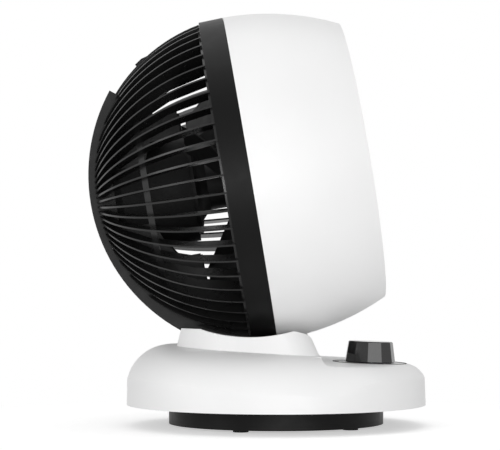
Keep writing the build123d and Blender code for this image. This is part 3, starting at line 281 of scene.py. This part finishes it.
def new_piece(name, points, faces, material, body):
    """A piece from points in mm, which rides on a CAD body."""
    mesh = bpy.data.meshes.new(name)
    mesh.from_pydata([Vector(point) * MM for point in points], [], faces)
    mesh.validate()
    mesh.materials.append(material)
    piece = bpy.data.objects.new(name, mesh)
    collection.objects.link(piece)
    face_outward(mesh)
    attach(piece, body)
    return piece


def smooth(piece, angle):
    """Smooth shading, with the edges sharper than the angle kept."""
    piece.data.shade_smooth()
    piece.data.set_sharp_from_angle(angle=math.radians(angle))
    even = piece.modifiers.new("even_shading", "WEIGHTED_NORMAL")
    even.keep_sharp = True


def tube_faces(columns, rows, looped):
    """Quads between columns of rows points each, every column a closed section.

    The last column joins the first, or both ends get a cap.
    """
    faces = []
    for column in range(columns if looped else columns - 1):
        start = column * rows
        ahead = (column + 1) % columns * rows
        for row in range(rows):
            above = (row + 1) % rows
            faces.append((start + row, ahead + row, ahead + above, start + above))
    if not looped:
        faces.append(tuple(range(rows)))
        faces.append(tuple(range((columns - 1) * rows, columns * rows)))
    return faces


def lathe_faces(columns, rows):
    """Quads round an axis, whose first and last rows are closed by flat faces."""
    ends = {0, rows - 1}
    faces = [face for face in tube_faces(columns, rows, True)
             if {index % rows for index in face} != ends]
    faces.append(tuple(range(0, columns * rows, rows)))
    faces.append(tuple(range(rows - 1, columns * rows, rows)))
    return faces


def combine(piece, tool, operation):
    """Joins a tool to a piece's mesh, or keeps what lies in the tool, and deletes the tool."""
    step = piece.modifiers.new("combine", "BOOLEAN")
    step.operation = operation
    step.solver = "EXACT"
    step.object = tool
    depsgraph = bpy.context.evaluated_depsgraph_get()
    mesh = bpy.data.meshes.new_from_object(piece.evaluated_get(depsgraph))
    piece.modifiers.clear()
    piece.data = mesh
    bpy.data.objects.remove(tool)


# ---------------------------------------- base shell with its full round
SHOULDER = 40.0  # radius of the round beside and behind the terrace
TERRACE_EDGE = 17.0  # and in front of it
BLEND_START = 72.0  # degrees from the front, where the round begins to change
BLEND_WIDTH = 26.0
ROUND_MARGIN = 1.0
ROUND_ROWS = 16

COVER_COLUMNS = 168
COVER_START = 3.0  # degrees from the top of the round
COVER_BORE = 1.0
COVER_MARGIN = 4.0
COVER_LOW = -10.0
COVER_HIGH = 120.0

LINING_COLUMNS = 120
LINING_FIRST = math.radians(47.0)
LINING_START = 6.0  # degrees from the top of the round
LINING_GROW = 0.5
LINING_WALL = 2.6
LINING_SKIN = 0.03
LINING_SINK = 0.3


def blend_to_terrace(turn):
    """0 beside and behind the step, 1 round the front of the terrace."""
    away = math.degrees(math.acos(math.cos(turn)))
    share = min(max((BLEND_START - away) / BLEND_WIDTH, 0.0), 1.0)
    return share * share * (3 - 2 * share)


def top_height(x, share):
    """Height of the base's top, from the rear part's at share 0 to the terrace's at 1."""
    rear = REAR_TOP - x * math.tan(REAR_SLOPE)
    terrace = DIAL_TOP - (x - DIAL_X) * math.tan(DIAL_LEAN)
    return rear + (terrace - rear) * share


def wall_radius(height):
    return BASE_R - WALL_LEAN * (height - BASE_BOTTOM)


def round_line(turn, start, grow):
    """Points of the rounded edge in one direction, from the top outward, moved out by grow."""
    share = blend_to_terrace(turn)
    edge = SHOULDER + (TERRACE_EDGE - SHOULDER) * share
    foot = top_height(BASE_R * math.cos(turn), share) - edge
    rim = wall_radius(foot) + ROUND_MARGIN
    line = []
    for row in range(ROUND_ROWS + 1):
        fall = math.radians(start + (90 - start) * row / ROUND_ROWS)
        radius = rim - edge + (edge + grow) * math.sin(fall)
        centre = top_height(radius * math.cos(turn), share) - edge
        line.append((radius, centre + (edge + grow) * math.cos(fall)))
    return line


def cover_envelope():
    """Everything inside the rounded outline, open to the collar above."""
    points = []
    for turn in turns_round(COVER_COLUMNS):
        line = round_line(turn, COVER_START, 0.0)
        outline = [(COVER_BORE, COVER_LOW), (line[-1][0] + COVER_MARGIN, COVER_LOW),
                   *reversed(line), (line[0][0], COVER_HIGH), (COVER_BORE, COVER_HIGH)]
        points += [place(radius, turn, height) for radius, height in outline]
    faces = lathe_faces(COVER_COLUMNS, ROUND_ROWS + 5)
    return new_piece("cover_envelope", points, faces, SHELL, "base")


def cover_lining():
    """Wall behind the round, from one side of the terrace round the rear to the other."""
    sweep = math.tau - 2 * LINING_FIRST
    points = []
    for column in range(LINING_COLUMNS):
        turn = LINING_FIRST + sweep * column / (LINING_COLUMNS - 1)
        outer = round_line(turn, LINING_START, LINING_GROW)
        inner = round_line(turn, LINING_START, -LINING_WALL)
        section = [(*point, LINING_SKIN) for point in outer]
        section += [(*point, LINING_WALL) for point in reversed(inner)]
        for radius, height, depth in section:
            radius = min(radius, wall_radius(height) - depth - LINING_SINK)
            if radius * math.cos(turn) > STEP_X:
                height = min(height, top_height(radius * math.cos(turn), 1.0) - depth)
            points.append(place(radius, turn, height))
    faces = tube_faces(LINING_COLUMNS, 2 * (ROUND_ROWS + 1), False)
    return new_piece("cover_lining", points, faces, SHELL, "base")


# The copy's stored normals go first: after a boolean they no longer fit its faces.
cover_mesh = nodes["base_shell"].data.copy()
cover_mesh.attributes.remove(cover_mesh.attributes["custom_normal"])
base_cover = bpy.data.objects.new("base_cover", cover_mesh)
collection.objects.link(base_cover)
combine(base_cover, cover_lining(), "UNION")
combine(base_cover, cover_envelope(), "INTERSECT")
base_cover.data.materials.clear()
base_cover.data.materials.append(SHELL)
smooth(base_cover, 30.0)
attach(base_cover, "base")
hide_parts("base_shell")


# ---------------------------------------- ends of the grille's side walls
WALL_FRONT = -50.5
WALL_REAR = -82.0
WALL_REACH = 90.0
WALL_STEPS = 12
WALL_INSIDE = 35.0
WALL_OUTSIDE = 36.6
WALL_HIGH = (42.0, 68.0)
WALL_LOW = (-55.0, -86.0)


def wall_end(name, side, inner, outer):
    """Plate that carries a side wall in to the motor pod, between two heights over the axis."""
    outline = [(WALL_FRONT, inner)]
    for step in range(WALL_STEPS + 1):
        ahead = WALL_FRONT + (WALL_REAR - WALL_FRONT) * step / WALL_STEPS
        reach = math.sqrt(WALL_REACH**2 - ahead**2)
        outline.append((ahead, math.copysign(min(reach, abs(outer)), outer)))
    outline.append((WALL_REAR, inner))
    points = []
    for across in (WALL_INSIDE, WALL_OUTSIDE):
        points += [in_head(ahead, rise, side * across) for ahead, rise in outline]
    faces = tube_faces(2, len(outline), False)
    new_piece(name, points, faces, GRILLE, "head")


for side, tag in ((-1, "near"), (1, "far")):
    wall_end(f"wall_end_high_{tag}", side, *WALL_HIGH)
    wall_end(f"wall_end_low_{tag}", side, *WALL_LOW)


# ---------------------------------------- flare of the impeller's hub
FLARE_COLUMNS = 48
FLARE_PROFILE = ((19.0, -36.0), (20.4, -36.0), (23.0, -40.0), (27.0, -43.5), (37.6, -45.6),
                 (37.6, -46.2), (19.0, -46.2))


def hub_flare():
    """Cone that carries the hub's back plate over into the hub."""
    points = []
    for turn in turns_round(FLARE_COLUMNS):
        points += [in_head(ahead, radius * math.cos(turn), radius * math.sin(turn))
                   for radius, ahead in FLARE_PROFILE]
    faces = tube_faces(FLARE_COLUMNS, len(FLARE_PROFILE), True)
    flare = new_piece("hub_flare", points, faces, BLADE, "impeller")
    smooth(flare, 35.0)


hub_flare()


# ---------------------------------------- knob with broad flats
KNOB_FLATS = 11
FLAT_COLUMNS = 12
FLAT_FULLNESS = 0.25
KNOB_ROUND_FROM = 17.0
KNOB_ROUND = 0.985
KNOB_ROWS = ((20.6, 0.0), (21.1, 0.5), (18.75, 16.6), (18.1, 17.3), (15.9, 17.4), (14.9, 17.4))


def knob_wave(turn):
    """Share of the radius in one direction: largest at a flat's edges, least in its middle."""
    part = math.pi / KNOB_FLATS
    within = (turn % (2 * part)) - part
    return math.cos(part) / math.cos(within) + (1 - math.cos(part)) * FLAT_FULLNESS


def dressed_knob():
    columns = KNOB_FLATS * FLAT_COLUMNS
    points = []
    for turn in turns_round(columns):
        for radius, height in KNOB_ROWS:
            share = knob_wave(turn) if height < KNOB_ROUND_FROM else KNOB_ROUND
            points.append(on_dial(place(radius * share, turn, height + KNOB_GAP)))
    faces = lathe_faces(columns, len(KNOB_ROWS))
    knob = new_piece("knob_cover", points, faces, KNOB, "knob")
    smooth(knob, 20.0)
    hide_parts("control_knob")


dressed_knob()


# ---------------------------------------- printing of the dial, and a dark thin band round its edge
RING_COLUMNS = 96
RING_INSIDE = 30.4
RING_HEIGHTS = (-0.05, 0.45)
POINTER_TURN = math.radians(180.0)
POINTER_RADII = (9.0, 14.6)
POINTER_HEIGHTS = (17.7, 18.0)
POINTER_HALF_TURN = 0.045
TICK_RADII = (22.6, 24.4)
TICK_HEIGHTS = (-0.05, 0.08)
TICK_HALF_TURN = 0.012
SPEEDS = 4
NUMBER_RADIUS = 27.2
NUMBER_HEIGHT = 0.03
NUMBER_SIZE = 4.4
NUMBER_DEPTH = 0.06


def flat_band(name, turns, radii, heights, material, body, looped=False):
    """Thin plate over the dial, between two radii and two heights."""
    inner, outer = radii
    low, high = heights
    points = []
    for turn in turns:
        for radius, height in ((inner, low), (outer, low), (outer, high), (inner, high)):
            points.append(on_dial(place(radius, turn, height)))
    new_piece(name, points, tube_faces(len(turns), 4, looped), material, body)


def dial_number(step, turn):
    name = f"dial_number_{step}"
    text = bpy.data.curves.new(name, "FONT")
    text.body = str(step)
    text.size = NUMBER_SIZE * MM
    text.align_x = "CENTER"
    text.align_y = "CENTER"
    text.extrude = NUMBER_DEPTH * MM
    text.materials.append(MARK)
    number = bpy.data.objects.new(name, text)
    collection.objects.link(number)
    number.location = on_dial(place(NUMBER_RADIUS, turn, NUMBER_HEIGHT)) * MM
    number.rotation_mode = "ZYX"
    number.rotation_euler = (0, DIAL_LEAN, math.radians(90.0))
    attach(number, "base")


flat_band("dial_ring", turns_round(RING_COLUMNS), (RING_INSIDE, DIAL_R), RING_HEIGHTS, MARK,
          "base", looped=True)
flat_band("knob_pointer", [POINTER_TURN - POINTER_HALF_TURN, POINTER_TURN + POINTER_HALF_TURN],
          POINTER_RADII, POINTER_HEIGHTS, POINTER, "knob")
for step in range(SPEEDS):
    turn = POINTER_TURN - step * KNOB_STEP
    flat_band(f"dial_tick_{step}", [turn - TICK_HALF_TURN, turn + TICK_HALF_TURN], TICK_RADII,
              TICK_HEIGHTS, MARK, "base")
    dial_number(step, turn)


# ---------------------------------------- floor and background
FLOOR_RADIUS = 6.0
FLOOR_SIDES = 96
FLOOR_GLOW = 0.50
FADE_START = 0.14
FADE_END = 0.34
AMBIENT = 0.50
WHITE = (1, 1, 1, 1)


def seen_as_background(tree):
    """1 for rays that come from the camera, from a gloss or through something clear."""
    path = add_node(tree, "ShaderNodeLightPath")
    seen = add_node(tree, "ShaderNodeMath", operation="MAXIMUM")
    tree.links.new(path.outputs["Is Camera Ray"], seen.inputs[0])
    tree.links.new(path.outputs["Is Glossy Ray"], seen.inputs[1])
    seen_through = add_node(tree, "ShaderNodeMath", operation="MAXIMUM")
    tree.links.new(seen.outputs[0], seen_through.inputs[0])
    tree.links.new(path.outputs["Is Transmission Ray"], seen_through.inputs[1])
    return seen_through.outputs[0]


def blend_shaders(tree, factor, first, second):
    mix = add_node(tree, "ShaderNodeMixShader")
    tree.links.new(factor, mix.inputs["Fac"])
    tree.links.new(first, mix.inputs[1])
    tree.links.new(second, mix.inputs[2])
    return mix.outputs[0]


def floor_material():
    """Pale floor that keeps its shadow near the object and fades to plain white."""
    mat, tree = new_material("floor_pale")
    out = add_node(tree, "ShaderNodeOutputMaterial")
    coords = object_coords(tree)
    length = add_node(tree, "ShaderNodeVectorMath", operation="LENGTH")
    tree.links.new(coords, length.inputs[0])
    reach = add_node(tree, "ShaderNodeMapRange", interpolation_type="SMOOTHSTEP")
    set_inputs(reach, From_Min=FADE_START, From_Max=FADE_END)
    tree.links.new(length.outputs["Value"], reach.inputs["Value"])

    diffuse = add_node(tree, "ShaderNodeBsdfDiffuse")
    soft = noise(tree, coords, 35.0, 2.0)
    stops = [(NOISE_LOW, grey(0.80)), (NOISE_HIGH, grey(0.82))]
    tree.links.new(colour_ramp(tree, soft, stops), diffuse.inputs["Color"])
    glow = add_node(tree, "ShaderNodeEmission")
    set_inputs(glow, Strength=FLOOR_GLOW)
    lit = add_node(tree, "ShaderNodeAddShader")
    tree.links.new(diffuse.outputs[0], lit.inputs[0])
    tree.links.new(glow.outputs[0], lit.inputs[1])
    white = add_node(tree, "ShaderNodeEmission")
    set_inputs(white, Color=WHITE)

    faded = blend_shaders(tree, reach.outputs["Result"], lit.outputs[0], white.outputs[0])
    shown = blend_shaders(tree, seen_as_background(tree), diffuse.outputs[0], faded)
    tree.links.new(shown, out.inputs["Surface"])
    return mat


def studio_world():
    """Plain light all round, in front of a white background."""
    world = bpy.data.worlds.new("studio")
    world.use_nodes = True
    tree = world.node_tree
    tree.nodes.clear()
    out = add_node(tree, "ShaderNodeOutputWorld")
    light = add_node(tree, "ShaderNodeBackground")
    set_inputs(light, Color=WHITE, Strength=AMBIENT)
    white = add_node(tree, "ShaderNodeBackground")
    set_inputs(white, Color=WHITE, Strength=1.0)
    shown = blend_shaders(tree, seen_as_background(tree), light.outputs[0], white.outputs[0])
    tree.links.new(shown, out.inputs["Surface"])
    return world


bpy.ops.mesh.primitive_circle_add(vertices=FLOOR_SIDES, radius=FLOOR_RADIUS, fill_type="NGON",
                                  location=(0, 0, 0))
floor = bpy.context.object
floor.name = "floor"
floor.data.materials.append(floor_material())

bpy.context.scene.world = studio_world()


# ---------------------------------------- lamps
def soft_box(name, spot, target, size, power):
    """Rectangular area lamp at a spot, facing a target."""
    data = bpy.data.lights.new(name, "AREA")
    data.shape = "RECTANGLE"
    data.size, data.size_y = size
    data.energy = power
    lamp = bpy.data.objects.new(name, data)
    lamp.location = spot
    aim = Vector(target) - Vector(spot)
    lamp.rotation_euler = aim.to_track_quat("-Z", "Y").to_euler()
    collection.objects.link(lamp)


soft_box("key", (0.35, -2.2, 0.30), (0, 0, 0.17), (1.4, 1.0), 13.3)
soft_box("left", (-1.7, -1.0, 0.5), (-0.05, 0, 0.12), (0.9, 1.0), 8.5)
soft_box("top", (0.0, 0.1, 1.7), (0, 0, 0.1), (1.2, 1.2), 5.5)
soft_box("low", (0.2, -1.5, 0.06), (0.05, 0, 0.2), (1.2, 0.1), 5.0)


# ---------------------------------------- camera, at the photo's angle
CAMERA_PLACE = (-0.0218, -1.617, 0.1256)
CAMERA_PITCH = math.radians(1.49)
CAMERA_LENS = 138.6
CAMERA_SENSOR = 36.0
CAMERA_FAR = 50

camera_data = bpy.data.cameras.new("camera")
camera_data.sensor_width = CAMERA_SENSOR
camera_data.lens = CAMERA_LENS
camera_data.clip_end = CAMERA_FAR
camera = bpy.data.objects.new("camera", camera_data)
camera.location = CAMERA_PLACE
camera.rotation_euler = (math.pi / 2 + CAMERA_PITCH, 0, 0)
collection.objects.link(camera)
bpy.context.scene.camera = camera

bpy.context.scene.view_settings.view_transform = "Standard"
